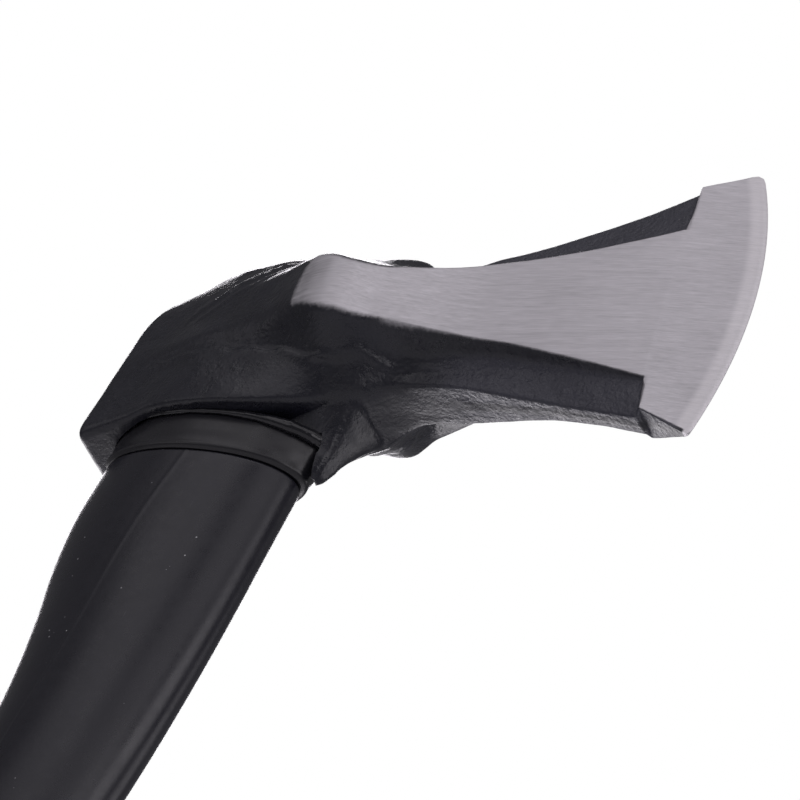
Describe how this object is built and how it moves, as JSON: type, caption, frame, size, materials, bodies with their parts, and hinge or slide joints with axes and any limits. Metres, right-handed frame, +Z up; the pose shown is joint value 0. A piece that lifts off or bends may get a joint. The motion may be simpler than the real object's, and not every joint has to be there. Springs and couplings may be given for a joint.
{
  "type": "splitting maul",
  "caption": "Splitting maul: forged wedge head with flared cheeks, recessed flanks and ground bit, on a jacketed fibreglass handle with rubber grip.",
  "frame": {"origin": "centre of the flat butt face, on the handle axis", "axes": "+Z up along the handle to the head, +X towards the cutting edge, the object is symmetric about the XZ plane"},
  "size_m": [0.1798, 0.058, 0.8367],
  "materials": {
    "forged_head": "black painted drop-forged steel with belt-ground bare steel on the bit, the rib and the wings",
    "fibreglass": "pultruded glass fibre, cut end visible on top of the head",
    "epoxy": "cast black potting resin",
    "collar": "glossy moulded band",
    "adhesive": "wet-looking squeezed-out adhesive",
    "jacket": "satin moulded polypropylene with a faint parting line",
    "grip_rubber": "matte textured rubber",
    "cap_rubber": "matte moulded rubber"
  },
  "bodies": {
    "root": {"maul_head": "forged_head", "fibreglass_core": "fibreglass", "eye_epoxy": "epoxy", "collar_band": "collar", "adhesive_bead": "adhesive", "handle_jacket": "jacket", "grip_sleeve": "grip_rubber", "butt_cap": "cap_rubber"}
  },
  "joints": []
}
